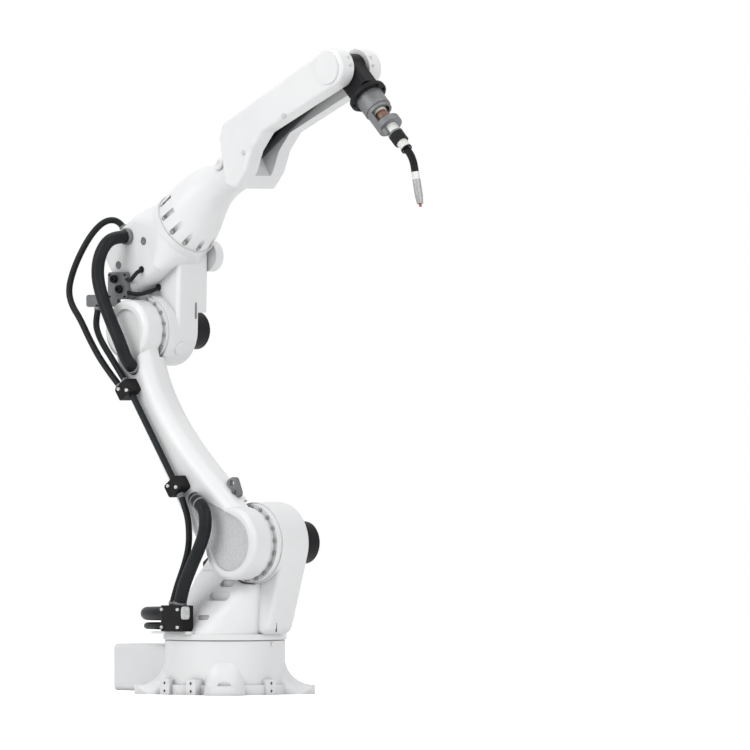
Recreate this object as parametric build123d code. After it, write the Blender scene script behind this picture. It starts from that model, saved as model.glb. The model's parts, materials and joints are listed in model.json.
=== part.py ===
from build123d import *
import math
import os

# Millimetres and degrees. X points forward, Y to the robot's left and Z up.
# The origin is on the floor, on the axis of the waist. The arm swings in the X-Z plane.

# Linkage
SHOULDER_OFFSET = 165
SHOULDER_HEIGHT = 444
LOWER_ARM_LENGTH = 760
LOWER_ARM_LEAN = 35
ELBOW_OFFSET = 200
FOREARM_LENGTH = 1070
FOREARM_PITCH = 33.5
TORCH_DROP = 44.5

# Clearances and overruns
JOINT_GAP = 0.6
RUNNING_GAP = 6
CUT_OVERRUN = 20
SEAT_GAP = 0.3

# Base casting
NECK_RADIUS = 177
BASE_HEIGHT = 160
BASE_RIM_CHAMFER = 3
FOOT_COUNT = 4
FOOT_REACH = 265
FOOT_WIDTH = 122
FOOT_THICKNESS = 28
FOOT_CREST_ROUND = 50
RIB_TOP = 96
RIB_SAG_share = 0.2
BOLT_SPACING = 330
BOLT_HOLE_RADIUS = 9
SPOT_FACE_RADIUS = 20
FLANGE_RADIUS = 186
FLANGE_THICKNESS = 30
PAD_WIDTH = 38
PAD_HEIGHT = 46
PAD_PROUD = 8
PAD_SPREAD = 55
PAD_HOLE_RADIUS = 4.5
PAD_HOLE_DEPTH = 12

# Connector box behind the base
BOX_WIDTH = 180
BOX_LOW = 6
BOX_HIGH = 144
BOX_BACK = 375
BOX_ROUND = 14
BOX_BOSS_PROUD = 12
PANEL_MARGIN = 10
PANEL_THICKNESS = 4
SOCKET_RADIUS = 24
SOCKET_LENGTH = 22
SOCKET_BORE_RADIUS = 18
SOCKET_BORE_DEPTH = 16
SOCKET_SPREAD = 38

# Waist casting
WAIST_DISC_RADIUS = 181
WAIST_DISC_THICKNESS = 17
SKIRT_FOOT_SIZE = 340
SKIRT_FOOT_ROUND = 158
SKIRT_TOP = 360
SKIRT_LENGTH = 270
SKIRT_WIDTH = 84
SKIRT_ROUND = 36
SKIRT_FORWARD = 52
SKIRT_LEFT = 2
HOUSING_RADIUS = 119
HOUSING_RIGHT = 31
HOUSING_BOSS = 42
HOUSING_LEFT = 72
WEB_FRONT = 208
WEB_FRONT_LOW = 205
WEB_BACK = 106
WEB_BACK_HIGH = 334
WEB_BACK_LOW = 240
WEB_LEFT = 26
WEB_CORNER_ROUND = 34
WEB_EDGE_ROUND = 14
SLOT_DEPTH = 10
WAIST_SLOTS = ((75, 325, 56, 20), (68, 288, 84, 26), (45, 226, 50, 14))

# Gear rings at the shoulder and the elbow
HUB_INNER = 80
RING_STEP = 13
SHOULDER_RING_RADIUS = 115
ELBOW_RING_RADIUS = 99

# Motors
SHOULDER_MOTOR_RADIUS = 62
SHOULDER_MOTOR_LENGTH = 110
ELBOW_MOTOR_RADIUS = 56
ELBOW_MOTOR_LENGTH = 115
ELBOW_MOTOR_SEAT = 50
ELBOW_MOTOR_ROOM = 118
MOTOR_CAP_CHAMFER = 16
WAIST_MOTOR_SIDE = 104
WAIST_MOTOR_ROUND = 18
WAIST_MOTOR_TOP = 401
WAIST_MOTOR_BASE = 285
PEDESTAL_MARGIN = 5
WAIST_MOTOR_BACK = 88
WAIST_MOTOR_LEFT = 88

# Lower arm
ARM_CENTRE = 90
ARM_THICKNESS = 104
ARM_SECTION_ROUND = 38
ARM_HUB_RIM = 146
SHOULDER_HUB_RADIUS = 107
ELBOW_HUB_RADIUS = 89
HUB_EDGE_ROUND = 16
RECESS_DEPTH = 14
SHOULDER_RECESS_RADIUS = 82
ELBOW_RECESS_RADIUS = 62
SHOULDER_TIP_RADIUS = 34
SHOULDER_TIP_BACK = 40
SHOULDER_TIP_RISE = 140
ELBOW_TIP_RADIUS = 46
ELBOW_TIP_BACK = 14
ELBOW_TIP_RISE = -46
COVER_THICKNESS = 3
ARM_STATION_shares = (0.02, 0.29, 0.53, 0.83, 0.98)
ARM_WIDTHS = (188, 167, 124, 130, 150)
ARM_BOWS = (8, 46, 61, 52, 12)

# Lifting lug on the front of the lower arm
LUG_LENGTH = 62
LUG_WIDTH = 40
LUG_THICKNESS = 14
LUG_HOLE_RADIUS = 9
LUG_ALONG = 150
LUG_FRONT = 66
LUG_LEAN = 12

# Elbow casting
ELBOW_HOUSING_RADIUS = 105
ELBOW_HOUSING_RIGHT = 31
ELBOW_BOSS = 62
ELBOW_SIDE_STEP = 4
ROLL_HOUSING_LENGTH = 240
ROLL_HOUSING_BACK = 10
ROLL_BOX_LENGTH = 165
ROLL_HOUSING_HEIGHT = 196
ROLL_HOUSING_WIDTH = 190
ROLL_HOUSING_ROUND = 30
ROLL_END_SIZE = 200
ROLL_END_FLAT = 1
ROLL_END_ROUND = (ROLL_END_SIZE - ROLL_END_FLAT) / 2
ROLL_HOUSING_END_ROUND = 26
ELBOW_FRONT = 214
ELBOW_FRONT_LOW = 124
ELBOW_BACK = 4
ELBOW_EDGE_ROUND = 12
PLUG_RADIUS = 12
PLUG_DEPTH = 6
PLUG_ALONG_shares = (0.16, 0.69)
PLUG_DROP = -4

# Cover of the roll motor, on the left of the elbow
ROLL_MOTOR_RADIUS = 46
ROLL_MOTOR_LENGTH = 34
ROLL_MOTOR_ALONG = 200
ROLL_MOTOR_DROP = 70
ROLL_MOTOR_CHAMFER = 8

# Roll ring and forearm neck
ROLL_RING_RADIUS = 102
NECK_START = 262
NECK_STATION_shares = (0.278, 0.356, 0.431, 0.556)
NECK_RADII = (97, 95, 78, 59, 57)
NECK_RISES = (0, 5, 24, 18, 14)
NECK_POCKET_COUNT = 12
NECK_POCKET_TURN = 23
NECK_POCKET_RADIUS = 8
NECK_POCKET_CIRCLE = 93
NECK_POCKET_FLOOR = 8
NECK_POCKET_LENGTH = 50

# Forked shell of the forearm
FORK_WIDTH = 170
FORK_GAP = 64
FORK_TIP_RADIUS = 57
SHELL_BACK = 0.5458 * FOREARM_LENGTH
SHELL_BACK_HIGH = 86
SHELL_SHOULDER = 0.5776 * FOREARM_LENGTH
SHELL_SHOULDER_HIGH = 113
SHELL_WAIST = 0.6935 * FOREARM_LENGTH
SHELL_WAIST_LOW = -1
SHELL_HEEL_FRONT = 0.6308 * FOREARM_LENGTH
SHELL_HEEL_FRONT_LOW = -20
SHELL_HEEL = 0.5785 * FOREARM_LENGTH
SHELL_HEEL_LOW = -58
SHELL_HEEL_BACK = 0.5196 * FOREARM_LENGTH
SHELL_HEEL_BACK_LOW = -76
SHELL_REAR = 0.4930 * FOREARM_LENGTH
SHELL_REAR_LOW = -42
SHELL_CORNER_ROUND = 18
SHELL_EDGE_ROUND = 12
SLOT_START = 0.5664 * FOREARM_LENGTH
SLOT_OPEN_START = 0.8925 * FOREARM_LENGTH
SLOT_ROOF = 16
FORK_CAP_RADIUS = 46
FORK_CAP_THICKNESS = 5

# Torch lead inside the fork
LEAD_RADIUS = 15

# Wrist
WRIST_DRUM_RADIUS = 44
WRIST_WIDTH = 58
WRIST_BODY_HEIGHT = 84
WRIST_BODY_LENGTH = 94
WRIST_BODY_ROUND = 12
WRIST_PIVOT_RADIUS = 36
WRIST_BOSS_RADIUS = 31
WRIST_BOSS_LENGTH = 13
TOOL_FLANGE_RADIUS = 58
TOOL_FLANGE_LENGTH = 14
TOOL_FLANGE_CHAMFER = 2

# Torch, from the tool flange outwards
COLLAR_RADIUS = 41
COLLAR_LENGTH = 52
CLAMP_LENGTH = 64
CLAMP_RADIUS = 38
CLAMP_WALL = 7
CLAMP_MOUTH_share = 0.62
CORE_RADIUS = 17
CORE_BAND_RADIUS = 21
CORE_BAND_LENGTH = 16
BODY_RADIUS = 20
BODY_LENGTH = 38
NUT_RADIUS = 23
NUT_LENGTH = 33
NUT_SIDES = 8
NECK_COLLAR_RADIUS = 16.5
NECK_COLLAR_LENGTH = 29
GOOSENECK_RADIUS = 11
GOOSENECK_LEAD = 8
GOOSENECK_BEND = 33
GOOSENECK_BEND_RADIUS = 90
GOOSENECK_TAIL = 16
INSULATOR_RADIUS = 11.5
INSULATOR_LENGTH = 22
NOZZLE_RADIUS = 11.75
NOZZLE_LENGTH = 72
NOZZLE_MOUTH_RADIUS = 9
NOZZLE_BORE_RADIUS = 7.5
NOZZLE_BORE_DEPTH = 30
TIP_RADIUS = 4
TIP_PROUD = 9
TIP_BORE_RADIUS = 0.8

# Hoses and the carriers that hold them
THICK_HOSE_RADIUS = 19
THIN_HOSE_RADIUS = 9.5
LEAD_LOOP_RADIUS = 6
HOSE_BEND_share = 0.45
HOSE_SEAT = 5
CARRIER_LENGTH = 44
CARRIER_OUTER = 182
CARRIER_ROUND = 8
CARRIER_WIDTH = 60
UPPER_CARRIER_DROP = 160
UPPER_CARRIER_BACK = 76
LOWER_CARRIER_ALONG = 249
LOWER_CARRIER_BACK = 68
THIN_BACK = 70
OUTER_BACK = 96
THIN_OUT = 162
UPPER_ENTRY_DROP = 112
UPPER_ENTRY_BACK = 40
LOWER_ENTRY_ALONG = 192
LOWER_ENTRY_BACK = 50

# Tray and clamp on the waist, and where the hoses enter the skirt
TRAY_BACK = 115
TRAY_FRONT = 40
TRAY_RIGHT = 190
TRAY_LEFT = 100
TRAY_THICKNESS = 8
CLAMP_HEIGHT = 76
CLAMP_BACK = 58
CLAMP_FRONT = 28
CLAMP_LEFT = 152
CLAMP_RIGHT = 210
CLAMP_ROUND = 9
CLAMP_THICK_X = -6
CLAMP_THIN_X = -38
CLAMP_OUT = 181
WAIST_THICK_RISE = 50
WAIST_THIN_RISE = 14
WAIST_ENTRY_BACK = 110
WAIST_ENTRY_LEFT = 18

# Connector plate and bracket on the elbow
CONNECTOR_ALONG = 13
CONNECTOR_RISE = 148
CONNECTOR_SIDE = 80
CONNECTOR_THICKNESS = 14
CONNECTOR_ROUND = 8
CONNECTOR_BORE_RADIUS = 9
CONNECTOR_BORE_DEPTH = 9
CONNECTOR_BORES = ((-10, 20), (12, -10))
BRACKET_REACH = 92
BRACKET_LOW = -62
BRACKET_HIGH = -26
BRACKET_ROUND = 9

# Where the hoses enter the roll housing
THICK_ENTRY_ALONG = 117
THICK_ENTRY_RISE = 53
OUTER_ENTRY_ALONG = 85
OUTER_ENTRY_OUT = 55

os.makedirs("parts", exist_ok=True)

SHOULDER = Pos(SHOULDER_OFFSET, 0, SHOULDER_HEIGHT) * Rot(0, -LOWER_ARM_LEAN, 0)
ELBOW = SHOULDER * Pos(0, 0, LOWER_ARM_LENGTH) * Rot(0, LOWER_ARM_LEAN - FOREARM_PITCH, 0)
ROLL = ELBOW * Pos(0, 0, ELBOW_OFFSET)
ELBOW_POINT = Pos(ELBOW.position)
TRAY_TOP = BASE_HEIGHT + JOINT_GAP + WAIST_DISC_THICKNESS + TRAY_THICKNESS
CLAMP_TOP = TRAY_TOP + CLAMP_HEIGHT
UPPER_CARRIER_ALONG = LOWER_ARM_LENGTH - UPPER_CARRIER_DROP
PANEL = ELBOW * Pos(CONNECTOR_ALONG, 0, CONNECTOR_RISE) * Rot(0, FOREARM_PITCH, 0)
WRIST = ROLL * Pos(FOREARM_LENGTH, 0, 0) * Rot(0, FOREARM_PITCH + TORCH_DROP, 0)


def slab(sketch, y_low, y_high):
    """A prism of a side-view sketch, drawn as (x, z), between two places across the robot."""
    return Pos(0, y_high, 0) * extrude(Plane.XZ * sketch, y_high - y_low)


def across(radius, y_low, y_high, x=0, z=0):
    """A cylinder across the robot."""
    return slab(Pos(x, z) * Circle(radius), y_low, y_high)


def along(sketch, x_low, x_high, z=0):
    """A prism along X of a sketch drawn as (y, z)."""
    return Pos(x_low, 0, z) * extrude(Plane.YZ * sketch, x_high - x_low)


def rod(radius, x_low, x_high, z=0):
    """A cylinder along X."""
    return along(Circle(radius), x_low, x_high, z)


def end_edges(shape, axis):
    """The edges of a shape's two end faces along an axis."""
    ends = shape.faces().sort_by(axis)
    return ends[0].edges() + ends[-1].edges()


def base_foot():
    """A foot on the X axis: a pad under a rib that sweeps up the neck in a concave curve."""
    run = FOOT_REACH - NECK_RADIUS
    rise = RIB_TOP - FOOT_THICKNESS
    middle = (NECK_RADIUS + run / 2 - run * RIB_SAG_share, FOOT_THICKNESS + rise / 2 - rise * RIB_SAG_share)
    tip = (FOOT_REACH, FOOT_THICKNESS)
    top = (NECK_RADIUS, RIB_TOP)
    outline = Polyline(top, (0, RIB_TOP), (0, 0), (FOOT_REACH, 0), tip)
    outline += ThreePointArc(tip, middle, top)
    rib = slab(make_face(outline), -FOOT_WIDTH / 2, FOOT_WIDTH / 2)
    crest = rib.edges().filter_by(GeomType.CIRCLE)
    rib = fillet(crest, FOOT_CREST_ROUND)
    plan = Pos(FOOT_REACH / 2, 0) * SlotOverall(FOOT_REACH + FOOT_WIDTH, FOOT_WIDTH)
    plan = Pos(-FOOT_WIDTH / 2, 0) * plan
    return rib & extrude(plan, BASE_HEIGHT)


def base_pad():
    """A machined pad with two tapped holes, on the +X side of the flange."""
    face = FLANGE_RADIUS + PAD_PROUD
    pad = along(Pos(0, PAD_HEIGHT / 2) * Rectangle(PAD_WIDTH, PAD_HEIGHT), 0, face)
    hole = rod(PAD_HOLE_RADIUS, face - PAD_HOLE_DEPTH, face + CUT_OVERRUN)
    for rank in (1, 3):
        pad -= Pos(0, 0, rank * PAD_HEIGHT / 4) * hole
    return pad


def base_casting():
    """The round foot of the robot: four ribbed feet, machined pads and a boss for the connector box."""
    neck = extrude(Circle(NECK_RADIUS), BASE_HEIGHT)
    neck = chamfer(neck.edges().sort_by(Axis.Z)[-1], BASE_RIM_CHAMFER)
    body = neck + extrude(Circle(FLANGE_RADIUS), FLANGE_THICKNESS)
    foot = base_foot()
    for turn in range(FOOT_COUNT):
        body += Rot(0, 0, 45 + turn * 360 / FOOT_COUNT) * foot
    pad = base_pad()
    for side in (-1, 1):
        body += Pos(side * PAD_SPREAD, 0, 0) * Rot(0, 0, -90) * pad
        body += Pos(side * PAD_SPREAD, 0, 0) * Rot(0, 0, 90) * pad
    body += pad
    boss = along(box_section(), -NECK_RADIUS - BOX_BOSS_PROUD, 0, (BOX_LOW + BOX_HIGH) / 2)
    body += boss
    drill = extrude(Circle(BOLT_HOLE_RADIUS), BASE_HEIGHT)
    spot = Pos(0, 0, FOOT_THICKNESS) * extrude(Circle(SPOT_FACE_RADIUS), BASE_HEIGHT)
    for x in (-BOLT_SPACING / 2, BOLT_SPACING / 2):
        for y in (-BOLT_SPACING / 2, BOLT_SPACING / 2):
            body -= Pos(x, y, 0) * drill
            body -= Pos(x, y, 0) * spot
    return body


def box_section():
    """The rounded section of the connector box, about its own middle."""
    return RectangleRounded(BOX_WIDTH, BOX_HIGH - BOX_LOW, BOX_ROUND)


def connector_box():
    """The box behind the base where the leads from the cabinet plug in."""
    body = along(box_section(), -BOX_BACK, -NECK_RADIUS - BOX_BOSS_PROUD, (BOX_LOW + BOX_HIGH) / 2)
    return body


def rear_panel():
    """The plate on the back of the connector box, with two round sockets."""
    face = -BOX_BACK - PANEL_THICKNESS
    middle = (BOX_LOW + BOX_HIGH) / 2
    plate = RectangleRounded(BOX_WIDTH - 2 * PANEL_MARGIN, BOX_HIGH - BOX_LOW - 2 * PANEL_MARGIN, BOX_ROUND)
    panel = along(plate, face, -BOX_BACK, middle)
    for side in (-1, 1):
        socket = rod(SOCKET_RADIUS, face - SOCKET_LENGTH, face, middle)
        mouth = face - SOCKET_LENGTH
        socket -= rod(SOCKET_BORE_RADIUS, mouth, mouth + SOCKET_BORE_DEPTH, middle)
        panel += Pos(0, side * SOCKET_SPREAD, 0) * socket
    return panel


def waist_skirt():
    """The skirt that draws in from the turning disc to the column under the shoulder."""
    low = BASE_HEIGHT + JOINT_GAP
    disc = Pos(0, 0, low) * extrude(Circle(WAIST_DISC_RADIUS), WAIST_DISC_THICKNESS)
    foot = RectangleRounded(SKIRT_FOOT_SIZE, SKIRT_FOOT_SIZE, SKIRT_FOOT_ROUND)
    head = RectangleRounded(SKIRT_LENGTH, SKIRT_WIDTH, SKIRT_ROUND)
    foot = Pos(0, 0, low + WAIST_DISC_THICKNESS) * foot
    head = Pos(SKIRT_FORWARD, SKIRT_LEFT, SKIRT_TOP) * head
    return disc + loft([foot, head])


def shoulder_column():
    """The column that carries the shoulder housing, wide at the front and narrow behind."""
    ring = Pos(SHOULDER_OFFSET, SHOULDER_HEIGHT) * Circle(HOUSING_RADIUS)
    low = BASE_HEIGHT + JOINT_GAP + WAIST_DISC_THICKNESS
    back = -WEB_BACK
    back_points = ((back, WEB_BACK_HIGH), (back, WEB_BACK_LOW), (WEB_FRONT, low), (back, low))
    front = SHOULDER_OFFSET - HOUSING_RADIUS
    front_points = ((WEB_FRONT, WEB_FRONT_LOW), (WEB_FRONT, low), (front, low))
    column = slab(hull_of(ring, front_points), -HOUSING_RIGHT, HOUSING_LEFT)
    column = fillet(end_edges(column, Axis.Y), WEB_EDGE_ROUND)
    web = slab(hull_of(ring, back_points), -HOUSING_RIGHT, WEB_LEFT)
    web = fillet(end_edges(web, Axis.Y), WEB_EDGE_ROUND)
    return column + web + slab(ring, -HOUSING_BOSS, 0)


def hull_of(circle, points):
    """The outline stretched round a circle and some points, with its corners rounded."""
    edges = circle.edges() + Polyline(*points, close=True).edges()
    sketch = make_hull(edges)
    corners = [v for v in sketch.vertices() if any(math.dist((v.X, v.Y), p) < JOINT_GAP for p in points)]
    return fillet(corners, WEB_CORNER_ROUND)


def waist_casting():
    """The turning column: skirt, shoulder housing, the motor's pedestal and cast slots on the right."""
    body = waist_skirt() + shoulder_column()
    low = BASE_HEIGHT + JOINT_GAP + WAIST_DISC_THICKNESS
    body += Pos(0, 0, low) * motor_section(PEDESTAL_MARGIN, WAIST_MOTOR_BASE - low)
    for x, z, length, height in WAIST_SLOTS:
        rise = (z - low) / (SKIRT_TOP - low)
        foot_face = -SKIRT_FOOT_SIZE / 2
        face = foot_face + rise * (SKIRT_LEFT - SKIRT_WIDTH / 2 - foot_face)
        slot = Pos(x, z) * SlotOverall(length, height)
        body -= slab(slot, -SKIRT_FOOT_SIZE, face + SLOT_DEPTH)
    groove = across(SHOULDER_RING_RADIUS + RUNNING_GAP, -HUB_INNER - RUNNING_GAP, -HOUSING_BOSS)
    return body - Pos(SHOULDER_OFFSET, 0, SHOULDER_HEIGHT) * groove


def gear_ring(radius, boss):
    """The gear's stepped ring, from a housing's boss to the hub that turns on it."""
    low = -HUB_INNER + JOINT_GAP
    step = (low - boss) / 2
    return across(radius - RING_STEP, low, -boss) + across(radius, step, -boss)


def motor_cap(radius, length, y_low):
    """A round motor standing out to the left, with a chamfered end."""
    motor = across(radius, y_low, y_low + length)
    return chamfer(motor.faces().sort_by(Axis.Y)[-1].edges(), MOTOR_CAP_CHAMFER)


def motor_section(margin, height):
    """A post of the waist motor's rounded section, in its place beside the column."""
    side = WAIST_MOTOR_SIDE + 2 * margin
    section = RectangleRounded(side, side, WAIST_MOTOR_ROUND)
    return Pos(-WAIST_MOTOR_BACK, WAIST_MOTOR_LEFT, 0) * extrude(section, height)


def waist_motor():
    """The motor of the waist, standing on its pedestal behind the shoulder."""
    motor = Pos(0, 0, WAIST_MOTOR_BASE) * motor_section(0, WAIST_MOTOR_TOP - WAIST_MOTOR_BASE)
    return chamfer(motor.faces().sort_by(Axis.Z)[-1].edges(), MOTOR_CAP_CHAMFER)


def arm_section(width, bow, height):
    """One level section of the lower arm, bowed back from the line between its two hubs."""
    section = RectangleRounded(width, ARM_THICKNESS, ARM_SECTION_ROUND)
    return Pos(-bow, -ARM_CENTRE, height) * section


def arm_hub(radius):
    """A hub of the lower arm, rounded at its outer face."""
    hub = across(radius, -ARM_HUB_RIM, -HUB_INNER)
    return fillet(hub.faces().sort_by(Axis.Y)[0].edges(), HUB_EDGE_ROUND)


def recess_outlines(gap):
    """The two drop-shaped recesses in the arm's outer face, each from a hub towards the beam."""
    radius = SHOULDER_RECESS_RADIUS - gap
    low = drop(radius, SHOULDER_TIP_RADIUS - gap, SHOULDER_TIP_BACK, SHOULDER_TIP_RISE)
    radius = ELBOW_RECESS_RADIUS - gap
    high = drop(radius, ELBOW_TIP_RADIUS - gap, ELBOW_TIP_BACK, ELBOW_TIP_RISE)
    return low, Pos(0, LOWER_ARM_LENGTH) * high


def drop(radius, tip_radius, tip_back, tip_rise):
    """The outline stretched round a circle and a smaller one beside it."""
    edges = Circle(radius).edges() + (Pos(-tip_back, tip_rise) * Circle(tip_radius)).edges()
    return make_hull(edges)


def lower_arm():
    """The bowed lower arm, upright on the shoulder axis: a lofted beam between two hubs."""
    sections = []
    for share, width, bow in zip(ARM_STATION_shares, ARM_WIDTHS, ARM_BOWS):
        sections.append(arm_section(width, bow, share * LOWER_ARM_LENGTH))
    beam = loft(sections)
    beam -= across(HOUSING_RADIUS + RUNNING_GAP, -HUB_INNER, CUT_OVERRUN)
    beam -= across(ELBOW_HOUSING_RADIUS + RUNNING_GAP, -HUB_INNER, CUT_OVERRUN, 0, LOWER_ARM_LENGTH)
    beam += arm_hub(SHOULDER_HUB_RADIUS)
    beam += Pos(0, 0, LOWER_ARM_LENGTH) * arm_hub(ELBOW_HUB_RADIUS)
    for outline in recess_outlines(0):
        beam -= slab(outline, -ARM_HUB_RIM - CUT_OVERRUN, -ARM_HUB_RIM + RECESS_DEPTH)
    return beam


def hub_covers():
    """The plain cover plates on the floors of the two recesses."""
    floor = -ARM_HUB_RIM + RECESS_DEPTH
    return [slab(outline, floor - COVER_THICKNESS, floor) for outline in recess_outlines(SEAT_GAP)]


def roll_housing():
    """The housing of the forearm's roll: a box that draws into a round end, hollowed by two plug seats."""
    section = RectangleRounded(ROLL_HOUSING_WIDTH, ROLL_HOUSING_HEIGHT, ROLL_HOUSING_ROUND)
    round_end = RectangleRounded(ROLL_END_SIZE, ROLL_END_SIZE, ROLL_END_ROUND)
    box = along(section, -ROLL_HOUSING_BACK, ROLL_BOX_LENGTH)
    box = fillet(box.faces().sort_by(Axis.X)[0].edges(), ROLL_HOUSING_END_ROUND)
    ends = [Plane.YZ.offset(ROLL_BOX_LENGTH) * section, Plane.YZ.offset(ROLL_HOUSING_LENGTH) * round_end]
    body = box + loft(ends)
    face = -ROLL_HOUSING_WIDTH / 2
    for share in PLUG_ALONG_shares:
        seat = across(PLUG_RADIUS, face - CUT_OVERRUN, face + PLUG_DEPTH)
        body -= Pos(share * ROLL_HOUSING_LENGTH, 0, -PLUG_DROP) * seat
    return Pos(0, 0, ELBOW_OFFSET) * body


def elbow_casting():
    """The elbow: a boss across the elbow axis, a web with a sloped front, and the roll housing on top."""
    left = ROLL_HOUSING_WIDTH / 2 - ELBOW_SIDE_STEP
    points = ((ELBOW_FRONT, ELBOW_FRONT_LOW), (ELBOW_FRONT, ELBOW_OFFSET), (ELBOW_BACK, ELBOW_OFFSET))
    edges = Circle(ELBOW_HOUSING_RADIUS).edges() + Polyline(*points, close=True).edges()
    web = slab(make_hull(edges), -ELBOW_HOUSING_RIGHT, left)
    web = fillet(end_edges(web, Axis.Y), ELBOW_EDGE_ROUND)
    web -= across(ELBOW_MOTOR_ROOM, ELBOW_MOTOR_SEAT, left + CUT_OVERRUN)
    return web + across(ELBOW_HOUSING_RADIUS, -ELBOW_BOSS, 0) + roll_housing()


def roll_motor_cover():
    """The round cover over the roll motor, on the left side of the elbow below the roll housing."""
    face = ROLL_HOUSING_WIDTH / 2
    cover = across(ROLL_MOTOR_RADIUS, face - ELBOW_SIDE_STEP, face + ROLL_MOTOR_LENGTH)
    cover = chamfer(cover.faces().sort_by(Axis.Y)[-1].edges(), ROLL_MOTOR_CHAMFER)
    return Pos(ROLL_MOTOR_ALONG, 0, ELBOW_OFFSET - ROLL_MOTOR_DROP) * cover


def forearm_neck():
    """The neck from the roll ring to the shell, lofted through round sections, with screw pockets."""
    stations = [NECK_START] + [share * FOREARM_LENGTH for share in NECK_STATION_shares]
    sections = []
    for station, radius, rise in zip(stations, NECK_RADII, NECK_RISES):
        sections.append(Plane.YZ.offset(station) * Pos(0, rise) * Circle(radius))
    neck = loft(sections)
    floor = NECK_START + NECK_POCKET_FLOOR
    pocket = rod(NECK_POCKET_RADIUS, floor, floor + NECK_POCKET_LENGTH, NECK_POCKET_CIRCLE)
    for rank in range(NECK_POCKET_COUNT):
        neck -= Rot(NECK_POCKET_TURN + rank * 360 / NECK_POCKET_COUNT, 0, 0) * pocket
    return neck


def shell_outline():
    """The side view of the forked shell: a heel, a tapering back and a round tip on the wrist axis."""
    points = [
        (SHELL_BACK, SHELL_BACK_HIGH),
        (SHELL_SHOULDER, SHELL_SHOULDER_HIGH),
        (FOREARM_LENGTH, FORK_TIP_RADIUS),
        (FOREARM_LENGTH, -FORK_TIP_RADIUS),
        (SHELL_WAIST, SHELL_WAIST_LOW),
        (SHELL_HEEL_FRONT, SHELL_HEEL_FRONT_LOW),
        (SHELL_HEEL, SHELL_HEEL_LOW),
        (SHELL_HEEL_BACK, SHELL_HEEL_BACK_LOW),
        (SHELL_REAR, SHELL_REAR_LOW),
    ]
    blade = make_face(Polyline(*points, close=True))
    corners = [v for v in blade.vertices() if v.X < FOREARM_LENGTH - FORK_TIP_RADIUS]
    blade = fillet(corners, SHELL_CORNER_ROUND)
    return blade + Pos(FOREARM_LENGTH, 0) * Circle(FORK_TIP_RADIUS)


def forearm_shell():
    """The forked shell on its neck, slotted from below for the torch lead and open at the wrist."""
    shell = slab(shell_outline(), -FORK_WIDTH / 2, FORK_WIDTH / 2)
    shell = fillet(end_edges(shell, Axis.Y), SHELL_EDGE_ROUND)
    body = shell + forearm_neck()
    reach = FOREARM_LENGTH + FORK_TIP_RADIUS + CUT_OVERRUN
    depth = 2 * SHELL_SHOULDER_HIGH
    roof_back = SHELL_SHOULDER_HIGH - SLOT_ROOF
    roof_front = FORK_TIP_RADIUS - SLOT_ROOF
    slot = ((SLOT_START, -depth), (SLOT_START, roof_back), (reach, roof_front), (reach, -depth))
    mouth = ((SLOT_OPEN_START, -depth), (SLOT_OPEN_START, depth), (reach, depth), (reach, -depth))
    for points in (slot, mouth):
        cut = make_face(Polyline(*points, close=True))
        body -= slab(cut, -FORK_GAP / 2, FORK_GAP / 2)
    return body


def fork_cap(side):
    """The round cap on one end of the wrist axis."""
    face = FORK_WIDTH / 2
    cap = across(FORK_CAP_RADIUS, face, face + FORK_CAP_THICKNESS)
    if side < 0:
        cap = across(FORK_CAP_RADIUS, -face - FORK_CAP_THICKNESS, -face)
    return Pos(FOREARM_LENGTH, 0, 0) * cap


def torch_lead():
    """The torch lead that runs through the fork from the hollow neck to the wrist."""
    lead = rod(LEAD_RADIUS, SLOT_START, FOREARM_LENGTH)
    return lead - across(WRIST_DRUM_RADIUS + RUNNING_GAP, -FORK_WIDTH, FORK_WIDTH, FOREARM_LENGTH)


def wrist_housing():
    """The wrist block between the fork arms: a drum and pivots on its axis, and the flange's boss."""
    drum = across(WRIST_DRUM_RADIUS, -WRIST_WIDTH / 2, WRIST_WIDTH / 2)
    body = along(RectangleRounded(WRIST_WIDTH, WRIST_BODY_HEIGHT, WRIST_BODY_ROUND), 0, WRIST_BODY_LENGTH)
    boss = rod(WRIST_BOSS_RADIUS, WRIST_BODY_LENGTH, WRIST_BODY_LENGTH + WRIST_BOSS_LENGTH)
    pivot = FORK_GAP / 2 - SEAT_GAP
    return drum + body + boss + across(WRIST_PIVOT_RADIUS, -pivot, pivot)


FLANGE_START = WRIST_BODY_LENGTH + WRIST_BOSS_LENGTH + JOINT_GAP
COLLAR_START = FLANGE_START + TOOL_FLANGE_LENGTH
CLAMP_START = COLLAR_START + COLLAR_LENGTH
BODY_START = CLAMP_START + CLAMP_LENGTH
NUT_START = BODY_START + BODY_LENGTH
NECK_COLLAR_START = NUT_START + NUT_LENGTH
GOOSENECK_START = NECK_COLLAR_START + NECK_COLLAR_LENGTH


def tool_flange():
    """The flange that the torch is bolted to."""
    flange = rod(TOOL_FLANGE_RADIUS, FLANGE_START, COLLAR_START)
    return chamfer(end_edges(flange, Axis.X), TOOL_FLANGE_CHAMFER)


def torch_clamp():
    """The clamp shell round the torch, open on the front side over most of its length."""
    shell = rod(CLAMP_RADIUS, CLAMP_START, BODY_START)
    shell -= rod(CLAMP_RADIUS - CLAMP_WALL, CLAMP_START, BODY_START)
    mouth_low = CLAMP_START + CLAMP_LENGTH * (1 - CLAMP_MOUTH_share) / 2
    mouth_high = BODY_START - mouth_low + CLAMP_START
    mouth = Pos(0, CLAMP_RADIUS) * Rectangle(2 * CLAMP_RADIUS, 2 * CLAMP_RADIUS)
    return shell - along(mouth, mouth_low, mouth_high)


def torch_core():
    """The insulated core inside the clamp, with a raised contact band."""
    core = rod(CORE_RADIUS, CLAMP_START, BODY_START)
    middle = (CLAMP_START + BODY_START) / 2
    return core + rod(CORE_BAND_RADIUS, middle - CORE_BAND_LENGTH / 2, middle + CORE_BAND_LENGTH / 2)


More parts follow.
